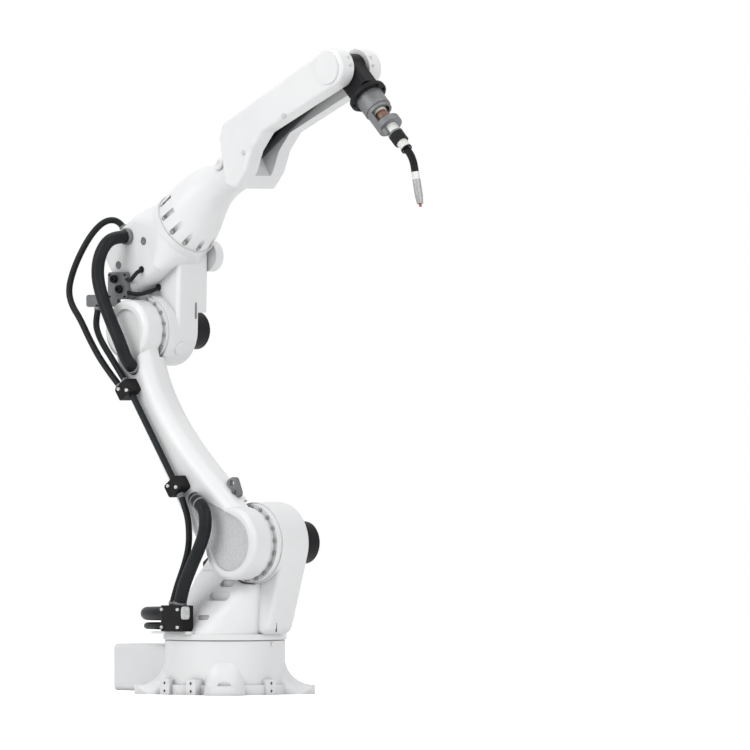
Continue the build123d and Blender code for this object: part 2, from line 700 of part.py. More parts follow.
def clamp_plate():
    """The end plate that joins the clamp shell to the core."""
    end = BODY_START + CLAMP_WALL
    return rod(CLAMP_RADIUS, BODY_START, end) - rod(BODY_RADIUS + SEAT_GAP, BODY_START, end)


def torch_nut():
    """The faceted union nut that holds the gooseneck."""
    section = RegularPolygon(NUT_RADIUS, NUT_SIDES)
    return along(section, NUT_START, NECK_COLLAR_START)


def gooseneck_end():
    """Where the gooseneck ends, and the frame of the nozzle there."""
    bend = Pos(GOOSENECK_START + GOOSENECK_LEAD, 0, 0) * Pos(0, 0, -GOOSENECK_BEND_RADIUS)
    return bend * Rot(0, GOOSENECK_BEND, 0) * Pos(0, 0, GOOSENECK_BEND_RADIUS) * Pos(GOOSENECK_TAIL, 0, 0)


def gooseneck():
    """The bent neck of the torch: two straight runs joined by an arc."""
    lead = rod(GOOSENECK_RADIUS, GOOSENECK_START, GOOSENECK_START + GOOSENECK_LEAD)
    start = GOOSENECK_START + GOOSENECK_LEAD
    section = Plane.YZ.offset(start) * Circle(GOOSENECK_RADIUS)
    pivot = Axis((start, 0, -GOOSENECK_BEND_RADIUS), (0, 1, 0))
    bend = revolve(section, pivot, GOOSENECK_BEND)
    tail = gooseneck_end() * rod(GOOSENECK_RADIUS, -GOOSENECK_TAIL, 0)
    return lead + bend + tail


def nozzle():
    """The gas nozzle: a sleeve that narrows to its mouth, bored for the contact tip."""
    low = INSULATOR_LENGTH
    high = INSULATOR_LENGTH + NOZZLE_LENGTH
    taper = (low + 2 * high) / 3
    outer = ((low, NOZZLE_RADIUS), (taper, NOZZLE_RADIUS), (high, NOZZLE_MOUTH_RADIUS))
    profile = Polyline((low, 0), *outer, (high, 0), close=True)
    sleeve = revolve(Plane.XZ * make_face(profile), Axis.X)
    return sleeve - rod(NOZZLE_BORE_RADIUS, high - NOZZLE_BORE_DEPTH, high + CUT_OVERRUN)


def contact_tip():
    """The copper tip inside the nozzle, bored for the wire."""
    high = INSULATOR_LENGTH + NOZZLE_LENGTH
    tip = rod(TIP_RADIUS, high - NOZZLE_BORE_DEPTH, high + TIP_PROUD)
    return tip - rod(TIP_BORE_RADIUS, high, high + TIP_PROUD + CUT_OVERRUN)


def lug():
    """The grey lug bolted to the front of the lower arm."""
    outline = RectangleRounded(LUG_WIDTH, LUG_LENGTH, LUG_WIDTH / 3)
    plate = slab(outline, -LUG_THICKNESS / 2, LUG_THICKNESS / 2)
    return plate - across(LUG_HOLE_RADIUS, -LUG_THICKNESS, LUG_THICKNESS, 0, LUG_LENGTH / 4)


def block(low, high):
    """A box between two corners."""
    size = [b - a for a, b in zip(low, high)]
    return Pos(*low) * Box(*size, align=(Align.MIN, Align.MIN, Align.MIN))


def carrier(along_arm, back):
    """A hose carrier that stands on the outer face of the lower arm."""
    face = -ARM_CENTRE - ARM_THICKNESS / 2
    body = slab(RectangleRounded(CARRIER_WIDTH, CARRIER_LENGTH, CARRIER_ROUND), -CARRIER_OUTER, face)
    return SHOULDER * Pos(-back, 0, along_arm) * body


def waist_tray():
    """The ledge on the turning disc that carries the hose clamp."""
    low = TRAY_TOP - TRAY_THICKNESS
    return block((-TRAY_BACK, -TRAY_RIGHT, low), (TRAY_FRONT, -TRAY_LEFT, TRAY_TOP))


def waist_clamp():
    """The clamp block on the tray that grips the hoses below the shoulder."""
    clamp = block((-CLAMP_BACK, -CLAMP_RIGHT, TRAY_TOP), (CLAMP_FRONT, -CLAMP_LEFT, CLAMP_TOP))
    return fillet(clamp.edges().filter_by(Axis.Z), CLAMP_ROUND)


def connector_plate():
    """The plate on the side of the roll housing with two connectors, level when the forearm is at rest."""
    face = -ROLL_HOUSING_WIDTH / 2
    outline = RectangleRounded(CONNECTOR_SIDE, CONNECTOR_SIDE, CONNECTOR_ROUND)
    plate = slab(outline, face - CONNECTOR_THICKNESS, face)
    floor = face - CONNECTOR_THICKNESS + CONNECTOR_BORE_DEPTH
    for x, z in CONNECTOR_BORES:
        plate -= across(CONNECTOR_BORE_RADIUS, floor - CONNECTOR_THICKNESS, floor, x, z)
    return PANEL * plate


def hose_bracket():
    """The bracket behind the connector plate that holds the thin hose away from the elbow."""
    face = -ROLL_HOUSING_WIDTH / 2
    edge = -CONNECTOR_SIDE / 2
    arm = block((edge - BRACKET_REACH, face - CONNECTOR_THICKNESS, BRACKET_LOW), (edge, face, BRACKET_HIGH))
    arm = fillet(arm.edges().filter_by(Axis.Y).sort_by(Axis.X)[:2], BRACKET_ROUND)
    step = block((edge, face - CONNECTOR_THICKNESS, BRACKET_LOW), (0, face, edge))
    return PANEL * (arm + step)


def place(frame, x, y, z):
    """A point of one of the arm's frames, in the robot's frame."""
    return tuple((frame * Pos(x, y, z)).position)


def hose(points, radius):
    """A hose along straight runs joined by arcs that are as large as the runs allow."""
    corners = [Vector(p) for p in points]
    radii = []
    for before, here, after in zip(corners, corners[1:], corners[2:]):
        turn = math.radians((here - before).get_angle(after - here))
        shorter = min((here - before).length, (after - here).length)
        radii.append(HOSE_BEND_share * shorter / math.tan(turn / 2))
    path = FilletPolyline(*corners, radius=radii)
    section = Plane(origin=corners[0], z_dir=corners[1] - corners[0]) * Circle(radius)
    print("hose radius", radius, "bends", [round(r) for r in radii], "length", round(path.length))
    return sweep(section, path)


def trimmed(tube, *neighbours):
    """A hose cut off flush where it enters its neighbours."""
    for neighbour in neighbours:
        tube = tube - neighbour
    return max(tube.solids(), key=lambda solid: solid.volume)


def carrier_end(back, middle, side):
    """A point just inside a carrier's upper (side 1) or lower (side -1) face."""
    return place(SHOULDER, -back, -THIN_OUT, middle + side * (CARRIER_LENGTH / 2 - HOSE_SEAT))


def arm_entry(along_arm, back):
    """A point just inside the outer face of the lower arm, where a thick hose goes in."""
    return place(SHOULDER, -back, HOSE_SEAT - ARM_CENTRE - ARM_THICKNESS / 2, along_arm)


def by_elbow(route):
    """A hand-laid route given from the elbow axis."""
    return [place(ELBOW_POINT, *point) for point in route]


def elbow_thick_hose():
    """The thick hose from the roll housing, out and down, and into the lower arm."""
    start = place(ROLL, THICK_ENTRY_ALONG, HOSE_SEAT - ROLL_HOUSING_WIDTH / 2, THICK_ENTRY_RISE)
    route = [(-45, -138, 274), (-52, -172, 258), (-68, -187, 214), (-72, -190, 158)]
    route += [(-52, -190, 98), (-18, -188, 30), (20, -184, -38), (38, -174, -96)]
    end = arm_entry(LOWER_ARM_LENGTH - UPPER_ENTRY_DROP, UPPER_ENTRY_BACK)
    return hose([start] + by_elbow(route) + [end], THICK_HOSE_RADIUS)


def elbow_outer_hose():
    """The thin hose that swings widest, from the top of the roll housing to the upper carrier."""
    top = ROLL_HOUSING_HEIGHT / 2 - HOSE_SEAT
    start = place(ROLL, OUTER_ENTRY_ALONG, -OUTER_ENTRY_OUT, top)
    route = [(-112, -58, 322), (-134, -92, 326), (-152, -128, 292), (-170, -158, 236), (-194, -172, 174)]
    route += [(-207, -178, 118), (-190, -181, 74), (-150, -183, 32), (-108, -182, -34), (-58, -176, -104)]
    end = carrier_end(OUTER_BACK, UPPER_CARRIER_ALONG, 1)
    return hose([start] + by_elbow(route) + [end], THIN_HOSE_RADIUS)


def elbow_thin_hose():
    """The thin hose from the bracket beside the connectors to the upper carrier."""
    face = -ROLL_HOUSING_WIDTH / 2
    reach = -CONNECTOR_SIDE / 2 - BRACKET_REACH / 2
    start = place(PANEL, reach, face - CONNECTOR_THICKNESS / 2, BRACKET_LOW + HOSE_SEAT)
    route = [(-157, -112, 36), (-138, -130, 4), (-96, -148, -36), (-34, -159, -92)]
    end = carrier_end(THIN_BACK, UPPER_CARRIER_ALONG, 1)
    return hose([start] + by_elbow(route) + [end], THIN_HOSE_RADIUS)


def arm_hose():
    """The straight hose along the outer face of the lower arm, between the two carriers."""
    high = UPPER_CARRIER_ALONG - CARRIER_LENGTH / 2
    low = LOWER_CARRIER_ALONG + CARRIER_LENGTH / 2
    return SHOULDER * Pos(-THIN_BACK, -THIN_OUT, low) * extrude(Circle(THIN_HOSE_RADIUS), high - low)


def shoulder_thick_hose():
    """The thick hose from the lower arm past the shoulder to the clamp on the waist."""
    start = arm_entry(LOWER_ENTRY_ALONG, LOWER_ENTRY_BACK)
    route = [(48, -174, 575), (100, -181, 545), (106, -182, 488)]
    route += [(84, -182, 438), (43, -182, 372), (8, -182, 308)]
    end = (CLAMP_THICK_X, -CLAMP_OUT, CLAMP_TOP - HOSE_SEAT)
    return hose([start] + route + [end], THICK_HOSE_RADIUS)


def shoulder_thin_hose():
    """The thin hose beside it, from the lower carrier to the clamp on the waist."""
    start = carrier_end(THIN_BACK, LOWER_CARRIER_ALONG, -1)
    route = [(2, -164, 548), (18, -165, 500), (22, -168, 434), (4, -172, 374), (-24, -177, 310)]
    end = (CLAMP_THIN_X, -CLAMP_OUT, CLAMP_TOP - HOSE_SEAT)
    return hose([start] + route + [end], THIN_HOSE_RADIUS)


def waist_hose(rise, radius):
    """A hose from the clamp round the back of the waist, level, to its entry in the skirt."""
    level = TRAY_TOP + rise
    start = (HOSE_SEAT - CLAMP_BACK, -CLAMP_OUT, level)
    route = [(-112, -177, level), (-166, -157, level), (-206, -118, level), (-222, -66, level)]
    route += [(-208, -14, level)]
    return hose([start] + route + [(-WAIST_ENTRY_BACK, WAIST_ENTRY_LEFT, level)], radius)


def elbow_lead(route):
    """A short lead from the edge of the connector plate to the side of the elbow."""
    return hose(by_elbow(route), LEAD_LOOP_RADIUS)


def save(name, solid):
    """Writes one piece to its own file."""
    export_step(solid, "parts/" + name + ".step")


waist_body = waist_casting()
arm_body = SHOULDER * lower_arm()
elbow_body = ELBOW * elbow_casting()
upper_carrier = carrier(UPPER_CARRIER_ALONG, UPPER_CARRIER_BACK) - arm_body
lower_carrier = carrier(LOWER_CARRIER_ALONG, LOWER_CARRIER_BACK) - arm_body
clamp_block = waist_clamp() - waist_body
plate = connector_plate()
bracket = hose_bracket() - plate
lug_place = SHOULDER * Pos(LUG_FRONT, -ARM_CENTRE, LUG_ALONG) * Rot(0, LUG_LEAN, 0)
shoulder_place = Pos(SHOULDER_OFFSET, 0, SHOULDER_HEIGHT)
shoulder_cover, elbow_cover = hub_covers()
lead_routes = [
    [(-40, -102, 150), (-14, -111, 146), (8, -124, 152), (20, -116, 170), (18, -90, 178)],
    [(-40, -102, 112), (-6, -104, 106), (18, -92, 106), (28, -62, 116), (24, -26, 126)],
]

save("base_casting", base_casting())
save("connector_box", connector_box())
save("base_rear_panel", rear_panel())
save("waist_casting", waist_body)
save("shoulder_gear_ring", shoulder_place * gear_ring(SHOULDER_RING_RADIUS, HOUSING_BOSS))
shoulder_cap = motor_cap(SHOULDER_MOTOR_RADIUS, SHOULDER_MOTOR_LENGTH, HOUSING_LEFT)
save("shoulder_motor", shoulder_place * shoulder_cap)
save("waist_motor", waist_motor() - waist_body)
save("waist_hose_tray", waist_tray() - waist_body)
save("waist_hose_clamp", clamp_block)
save("waist_thick_hose", trimmed(waist_hose(WAIST_THICK_RISE, THICK_HOSE_RADIUS), clamp_block, waist_body))
save("waist_thin_hose", trimmed(waist_hose(WAIST_THIN_RISE, THIN_HOSE_RADIUS), clamp_block, waist_body))
save("lower_arm_casting", arm_body)
save("shoulder_hub_cover", SHOULDER * shoulder_cover)
save("elbow_hub_cover", SHOULDER * elbow_cover)
save("lifting_lug", lug_place * lug() - arm_body)
save("upper_hose_carrier", upper_carrier)
save("lower_hose_carrier", lower_carrier)
save("arm_thin_hose", arm_hose())
cover_place = SHOULDER * shoulder_cover
save("shoulder_thick_hose", trimmed(shoulder_thick_hose(), arm_body, clamp_block, cover_place))
save("shoulder_thin_hose", trimmed(shoulder_thin_hose(), lower_carrier, clamp_block))
save("elbow_thick_hose", trimmed(elbow_thick_hose(), arm_body, elbow_body))
save("elbow_outer_hose", trimmed(elbow_outer_hose(), upper_carrier, elbow_body))
save("elbow_thin_hose", trimmed(elbow_thin_hose(), upper_carrier, bracket))
save("elbow_gear_ring", ELBOW * gear_ring(ELBOW_RING_RADIUS, ELBOW_BOSS))
save("elbow_casting", elbow_body)
save("elbow_motor", ELBOW * motor_cap(ELBOW_MOTOR_RADIUS, ELBOW_MOTOR_LENGTH, ELBOW_MOTOR_SEAT))
save("roll_motor_cover", ELBOW * roll_motor_cover() - elbow_body)
save("connector_plate", plate - elbow_body)
save("hose_bracket", bracket)
save("elbow_leads", Compound([trimmed(elbow_lead(route), elbow_body, plate) for route in lead_routes]))
save("roll_ring", ROLL * rod(ROLL_RING_RADIUS, ROLL_HOUSING_LENGTH + JOINT_GAP, NECK_START))
save("forearm_casting", ROLL * forearm_shell())
save("wrist_cap_right", ROLL * fork_cap(-1))
save("wrist_cap_left", ROLL * fork_cap(1))
save("torch_lead", ROLL * torch_lead())
save("wrist_housing", WRIST * wrist_housing())
save("tool_flange", WRIST * tool_flange())
save("torch_collar", WRIST * rod(COLLAR_RADIUS, COLLAR_START, CLAMP_START))
save("torch_clamp", WRIST * torch_clamp())
save("torch_core", WRIST * torch_core())
save("torch_body", WRIST * rod(BODY_RADIUS, BODY_START, NUT_START))
save("clamp_plate", WRIST * clamp_plate())
save("torch_nut", WRIST * torch_nut())
save("neck_collar", WRIST * rod(NECK_COLLAR_RADIUS, NECK_COLLAR_START, GOOSENECK_START))
save("gooseneck", WRIST * gooseneck())
save("nozzle_insulator", WRIST * gooseneck_end() * rod(INSULATOR_RADIUS, 0, INSULATOR_LENGTH))
save("gas_nozzle", WRIST * gooseneck_end() * nozzle())
save("contact_tip", WRIST * gooseneck_end() * contact_tip())
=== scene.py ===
import json
import math

import bmesh
import bpy
import numpy as np
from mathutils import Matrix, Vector


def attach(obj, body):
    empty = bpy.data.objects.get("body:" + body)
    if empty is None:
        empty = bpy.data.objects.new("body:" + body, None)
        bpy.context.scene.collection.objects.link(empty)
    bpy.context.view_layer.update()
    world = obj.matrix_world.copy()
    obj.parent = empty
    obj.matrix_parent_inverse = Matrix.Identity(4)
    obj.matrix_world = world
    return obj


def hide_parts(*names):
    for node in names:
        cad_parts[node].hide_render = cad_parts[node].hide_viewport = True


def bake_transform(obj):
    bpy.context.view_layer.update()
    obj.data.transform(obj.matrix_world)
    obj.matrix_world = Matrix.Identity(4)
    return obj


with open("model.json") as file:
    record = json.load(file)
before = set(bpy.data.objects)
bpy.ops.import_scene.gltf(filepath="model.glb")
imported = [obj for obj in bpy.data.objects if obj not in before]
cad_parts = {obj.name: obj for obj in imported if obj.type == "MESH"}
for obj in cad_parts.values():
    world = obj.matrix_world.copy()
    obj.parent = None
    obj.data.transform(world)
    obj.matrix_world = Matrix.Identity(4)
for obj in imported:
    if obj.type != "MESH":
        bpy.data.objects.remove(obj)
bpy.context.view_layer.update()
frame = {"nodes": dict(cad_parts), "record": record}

NODES = frame["nodes"]
RECORD = frame["record"]
JOINTS = {joint["name"]: joint for joint in RECORD["behaviour"]["joints"]}
SLOT_OF = {part["node"]: part["material_slot"] for part in RECORD["subparts"]}
MM = 0.001
FULL_TURN = 2 * math.pi
FORWARD = np.array([1.0, 0.0, 0.0])
ACROSS = np.array([0.0, 1.0, 0.0])
UP = np.array([0.0, 0.0, 1.0])

# The arm's own frames, from the joints: an origin with a direction along the piece and one square to it.
SHOULDER = np.array(JOINTS["shoulder_swing"]["pos_m"], float)
ELBOW = np.array(JOINTS["elbow_swing"]["pos_m"], float)
ROLL = np.array(JOINTS["forearm_roll"]["pos_m"], float)
WRIST = np.array(JOINTS["wrist_bend"]["pos_m"], float)
ARM_UP = (ELBOW - SHOULDER) / np.linalg.norm(ELBOW - SHOULDER)
ARM_FRONT = np.cross(ACROSS, ARM_UP)
FOREARM_OUT = np.array(JOINTS["forearm_roll"]["axis"], float)
FOREARM_UP = np.cross(FOREARM_OUT, ACROSS)
TORCH_OUT = np.array(JOINTS["tool_roll"]["axis"], float)
TORCH_UP = np.cross(TORCH_OUT, ACROSS)

# How finely the curved pieces are cut.
ROUND_SIDES = 24
BOSS_EDGE_ROWS = 7
CUSHION_TURNS = 48
CUSHION_LIFTS = 25
CUSHION_DIGITS = 9
FLOOR_SIDES = 64
ROUTE_SAMPLES = 26
FEWEST_HOSE_STEPS = 8

# Limits: points this close count as one, in metres, and an axis this near to upright takes another helper.
POLE_REACH = 1e-6
SAME_PLACE = 1e-7
NEAR_UPRIGHT = 0.9

# Shapes of the small pieces, as shares of their radius, height or thickness.
# A socket is given by its width at the mouth, its width at the floor and the floor's height.
HEAD_RIM = 0.9
SOCKET_ROWS = (4, 5)
SCREW_TALL = 1.15
SCREW_FOOT = 0.1
SCREW_EDGE = 0.85
SCREW_SOCKET = (0.58, 0.52, 0.4)
PLUG_FOOT = 0.5
PLUG_EDGE = 0.6
PLUG_SOCKET = (0.5, 0.46, 0.1)
BOSS_EDGE = 0.4
BAND_EASE = 0.3
BLOCK_SQUARE = 0.25
STRIP_SQUARE = 0.4

# All that follows, up to the photograph's frame, is in millimetres.
# Hoses: their radii, the step between their rings, a direction that none of them runs along, and the length
# and thickness of their bands and clips.
THICK_HOSE = 19
THIN_HOSE = 9.5
HOSE_STEP = 4
SLANT = np.array([0.85, 0.3, 0.43])
HOSE_BAND = (9, 1.8)
HOSE_BAND_INSET = 7
HOSE_CLIP = (6, 1.6)

# Faces on which small pieces stand, by their distance across the robot, and the connector plate's middle.
HOUSING_SIDE = -95
CARRIER_SIDE = -182
CLAMP_SIDE = -210
CLAMP_TOP = 261.6
CLAMP_SINK = 5
PANEL_ALONG = 13
PANEL_RISE = 148
PANEL_SIDE = -109

# Radii of the screws' heads.
HEAD = {
    "shoulder_ring": 5, "elbow_ring": 4.2, "motor": 4, "carrier": 5, "lug": 5, "roll_cover": 3.5,
    "connector_plate": 3.2, "neck": 6.5, "fork": 4.6, "flange": 4, "clamp": 4.5, "strap": 4,
}

# Circles of screws: where the circle stands, and its radius with the count of screws.
SHOULDER_RING_SIDE, SHOULDER_RING = -60.7, (108.5, 18)
SHOULDER_CAP_SIDE, SHOULDER_CAP = 182, (36, 4)
ELBOW_RING_SIDE, ELBOW_RING = -70.7, (92.5, 16)
ELBOW_CAP_SIDE, ELBOW_CAP = 165, (32, 4)
ROLL_COVER_PLACE, ROLL_COVER = (200, 129, 130), (31, 6)
FLANGE_PLACE, FLANGE = (121.6, 0, 0), (49.5, 8)

# Lower arm: each hose carrier's place along the arm and behind it, its pair of screws, and the lug's screw.
CARRIERS = {"upper": (600, 76), "lower": (249, 68)}
CARRIER_PAIR = np.array([(11, -13), (-11, 13)])
LUG_SCREW_PLACE = (138, -98, 64)

# Elbow: places, then sizes. A plug and a boss have a radius and a height, a band has a radius, a length and
# a thickness, and a block has three sides.
HOUSING_PLUG_PLACES = np.array([(38.4, 4), (165.6, 4)])
HOUSING_PLUG, HOUSING_PLUG_SINK = (11.4, 3), 5
CONNECTOR_PLACES, CONNECTOR = np.array([(-10, 20), (12, -10)]), (12, 12)
PLATE_CORNERS = 32 * np.array([(-1, 1), (1, 1), (1, -1), (-1, -1)])
LEAD_GLAND_PLACES = {"high": (18, HOUSING_SIDE, 178), "low": (24, -31, 126)}
LEAD_GLAND = (10, 5)
# The web's slot is not cut: a dark grey block on the web is its painted shade.
WEB_SLOT_SHADE_PLACE, WEB_SLOT_SHADE = (105.4, 41, 58), (8, 50, 4)
PAD_PLACE, PAD_OUT, PAD = (90.5, -7, -53), (0.865, 0, -0.503), (21, 4)
THICK_GLAND_PLACE, THICK_GLAND = (117, HOUSING_SIDE, 53), (21.5, 12, 3)
OUTER_GLAND_PLACE, OUTER_GLAND = (85, -55, 98), (11.5, 12, 2.5)

# Forearm: the neck's screw pockets, the screws round the fork's ends, with turns in degrees, and the bosses.
NECK_SCREWS = 12
NECK_FIRST_TURN = 23
NECK_POCKET_RADIUS = 93
NECK_POCKET_ALONG = 270
FORK_TURNS = (104, 76, 2, -24)
FORK_RADIUS = 57
FORK_SIDE = 46
SHELL_BOSS_PLACES, SHELL_SIDE, SHELL_BOSS = np.array([(844, -14), (648, -10)]), -85, (8, 2.5)
NECK_BOSS_PLACE, NECK_BOSS, NECK_PLUG = (514, -45, 43), (21, 6), (11, 2)
NECK_BOSS_OUT = -0.85 * ACROSS + 0.53 * FOREARM_UP

# Torch: its rings by their distance from the wrist axis, and its bracket.
CORE_RING_PLACES, CORE_RING = {"upper": 176, "lower": 224}, (18, 11, 2.5)
NUT_RING_PLACE, NUT_RING = (271, 0, 0), (21, 6, 2.2)
NECK_RING_PLACE, NECK_RING = (333, 0, 0), (15, 6, 2)
BRACKET_PLACE, BRACKET = (252, -24, -6), (34, 12, 14)

# Waist: the hose clamp's screws and strap, the waist motor's screws, and the zero mark with its knob.
CLAMP_SCREW_PLACES = np.array([(-48, 250), (18, 250), (18, 198), (-48, 198)])
STRAP_PLACE, STRAP = (28, -190, 240), (32, 38, 8)
STRAP_SCREW_PLACES = np.array([(31.5, -190, 250), (31.5, -190, 230)])
WAIST_MOTOR_CORNERS, WAIST_MOTOR_TOP = np.array([(-122, 54), (-54, 54), (-54, 122), (-122, 122)]), 401
ZERO_LINE_PLACE, ZERO_LINE = (212.6, 1, 199), (2.2, 32, 4)
ZERO_LINE_WIDE, ZERO_LINE_LONG = (0.080, 0.959, 0.268), (0.28, -0.28, 0.918)
ZERO_KNOB_PLACE, ZERO_KNOB_OUT, ZERO_KNOB = (175.5, 20, 148), (1, 0.12, 0), (6, 5)

# The photograph's frame: its side in pixels, its scale, and the places of the waist axis and the floor in it.
PHOTO_SIDE = 750
MM_PER_PIXEL = 2.93
AXIS_COLUMN = 225
FLOOR_ROW = 694
CAMERA_TURN = math.radians(45)
CAMERA_DISTANCE = 40.0
SENSOR = 36.0

# The stage, in metres: light from all round, the floor, and the lamps with their place, size and power.
AMBIENT = 0.46
FLOOR_GLOW = 0.75
FLOOR_REACH = 12.0
FLOOR_HOLE = 0.001
FLOOR_DROP = 0.0005
FLOOR_PATCH = 2.0
FLOOR_SHADES = ((0.8, 0.8, 0.8, 1), (0.82, 0.82, 0.82, 1))
WHITE = (1, 1, 1, 1)
LAMP_AIM = Vector((0.1, 0.0, 0.9))
LAMPS = [
    ("key_lamp", (-0.6, -4.4, 3.2), 3.0, 130),
    ("fill_lamp", (4.4, -0.6, 2.4), 3.0, 88),
    ("top_lamp", (-0.4, 0.4, 4.8), 3.0, 60),
]

# What all finishes share: the noise's detail, where one colour gives way to the other, the grain's depth,
# and the painted shade that darkens the paint in creases and corners, where the air is hemmed in.
PATCH_DETAIL = 4.0
GRAIN_DETAIL = 3.0
PATCH_EDGES = (0.35, 0.62)
GRAIN_DEPTH = 0.0004
CREASE_REACH = 0.03
CREASE_SAMPLES = 6
CREASE_OPEN = (0.25, 0.8)
CREASE_SHADE_GAIN = 2.0
CREASE_SHADE_GREY = (0.33, 0.33, 0.34)


def at(origin, first, second, along, out, rise):
    """Points along `first`, across the robot and along `second` from an origin, given in millimetres."""
    along, out, rise = np.broadcast_arrays(along, out, rise)
    steps = along[..., None] * first + out[..., None] * ACROSS + rise[..., None] * second
    return origin + MM * steps


def on_arm(along, out, front):
    """Points of the lower arm's frame."""
    return at(SHOULDER, ARM_UP, ARM_FRONT, along, out, front)


def on_elbow(along, out, rise):
    """Points of the elbow's frame, whose first direction runs along the forearm."""
    return at(ELBOW, FOREARM_OUT, FOREARM_UP, along, out, rise)


def on_forearm(along, out, rise):
    """Points of the forearm's frame, from the rear end of the roll axis."""
    return at(ROLL, FOREARM_OUT, FOREARM_UP, along, out, rise)


def on_torch(along, out, rise):
    """Points of the torch's frame, from the wrist axis."""
    return at(WRIST, TORCH_OUT, TORCH_UP, along, out, rise)


def on_base(x, y, z):
    """Points of the robot's own frame."""
    return at(np.zeros(3), FORWARD, UP, x, y, z)


def on_panel(x, y, z):
    """Points of the connector plate's frame, which is level at rest."""
    return at(on_elbow(PANEL_ALONG, 0, PANEL_RISE), FORWARD, UP, x, y, z)


def by_elbow(x, y, z):
    """Points given from the elbow axis, along the robot's own directions."""
    return at(ELBOW, FORWARD, UP, x, y, z)


def mm(points):
    """A table of points in millimetres as metres."""
    return MM * np.array(points, float)


def square_to(axis):
    """An axis at unit length, with two directions square to it and to each other."""
    axis = np.asarray(axis, float) / np.linalg.norm(axis)
    helper = UP if abs(axis[2]) < NEAR_UPRIGHT else ACROSS
    first = np.cross(helper, axis)
    first /= np.linalg.norm(first)
    return axis, first, np.cross(axis, first)


def grid_faces(rows, columns):
    """Quads of a grid that closes on itself across its columns."""
    row, column = np.meshgrid(np.arange(rows - 1), np.arange(columns), indexing="ij")
    beside = (column + 1) % columns
    corners = (row * columns + column, row * columns + beside)
    corners += ((row + 1) * columns + beside, (row + 1) * columns + column)
    return np.stack(corners, axis=-1).reshape(-1, 4)


def close_poles(mesh):
    """Merges the points that share one place, so that the rows of no width become closed poles."""
    work = bmesh.new()
    work.from_mesh(mesh)
    bmesh.ops.remove_doubles(work, verts=work.verts, dist=POLE_REACH)
    bmesh.ops.recalc_face_normals(work, faces=work.faces)
    work.to_mesh(mesh)
    work.free()


def mesh_object(name, points, faces, body, slot):
    """One object from points and quads, closed at its poles, riding on a body, with a slot's finish."""
    mesh = bpy.data.meshes.new(name)
    mesh.from_pydata(points.tolist(), [], faces.tolist())
    close_poles(mesh)
    mesh.shade_smooth()
    piece = bpy.data.objects.new(name, mesh)
    bpy.context.collection.objects.link(piece)
    mesh.materials.append(FINISHES[slot])
    if body:
        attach(piece, body)
    return piece


def turned(name, profile, centres, axis, body, slot, hexed=()):
    """Copies of one turned shape: a profile of radius and height, spun about an axis at each centre.

    A point is centre + height * axis + radius * (cos a * first + sin a * second). In the rows named in
    `hexed` the radius follows a hexagon: radius * cos 30 / cos(a mod 60 - 30).
    """
    axis, first, second = square_to(axis)
    radius, height = MM * np.array(profile, float).T
    angle = np.linspace(0, FULL_TURN, ROUND_SIDES, endpoint=False)
    share = np.ones((len(radius), ROUND_SIDES))
    share[list(hexed)] = math.cos(math.pi / 6) / np.cos(np.mod(angle, math.pi / 3) - math.pi / 6)
    spin = np.cos(angle)[:, None] * first + np.sin(angle)[:, None] * second
    shape = (radius[:, None] * share)[..., None] * spin + height[:, None, None] * axis
    centres = np.asarray(centres, float).reshape(-1, 3)
    points = (centres[:, None, None] + shape).reshape(-1, 3)
    faces = grid_faces(len(radius), ROUND_SIDES)
    each = len(radius) * ROUND_SIDES
    faces = (faces + each * np.arange(len(centres))[:, None, None]).reshape(-1, 4)
    return mesh_object(name, points, faces, body, slot)


def socketed(radius, foot, edge, top, socket):
    """The profile of a round head with an eased rim and a hexagon socket, as rows of radius and height."""
    mouth, width, depth = socket
    rows = [(0, -foot), (radius, -foot), (radius, edge), (HEAD_RIM * radius, top)]
    return rows + [(mouth * radius, top), (width * radius, depth * top), (0, depth * top)]


def screws(name, centres, axis, radius, body, slot="black_plastic"):
    """Socket head screws: a chamfered head with a hexagon socket, spun about each centre it stands on."""
    tall = SCREW_TALL * radius
    rows = socketed(radius, SCREW_FOOT * radius, SCREW_EDGE * tall, tall, SCREW_SOCKET)
    return turned(name, rows, centres, axis, body, slot, hexed=SOCKET_ROWS)


def plugs(name, centres, axis, radius, proud, body, slot):
    """Round plugs: a low head with an eased rim and a hexagon socket, spun about each centre."""
    rows = socketed(radius, PLUG_FOOT * proud, PLUG_EDGE * proud, proud, PLUG_SOCKET)
    return turned(name, rows, centres, axis, body, slot, hexed=SOCKET_ROWS)


def bosses(name, centres, axis, radius, proud, body, slot):
    """Low round bosses with a rounded edge: a quarter circle spun about each centre."""
    bend = np.linspace(0, math.pi / 2, BOSS_EDGE_ROWS)
    edge = min(proud, BOSS_EDGE * radius)
    rim = np.stack([radius - edge + edge * np.cos(bend), proud - edge + edge * np.sin(bend)], axis=1)
    rows = np.vstack([[(0, -proud), (radius, -proud)], rim, [(0, proud)]])
    return turned(name, rows, centres, axis, body, slot)


def band(name, centre, axis, radius, length, thick, body, slot):
    """A band round a hose or a rod: a profile with eased edges, spun about the axis from its centre on."""
    ease = BAND_EASE * thick
    inner, outer = radius - thick, radius + thick
    rows = [(inner, 0), (outer - ease, 0), (outer, ease), (outer, length - ease)]
    rows += [(outer - ease, length), (inner, length), (inner, 0)]
    return turned(name, rows, [centre], axis, body, slot)


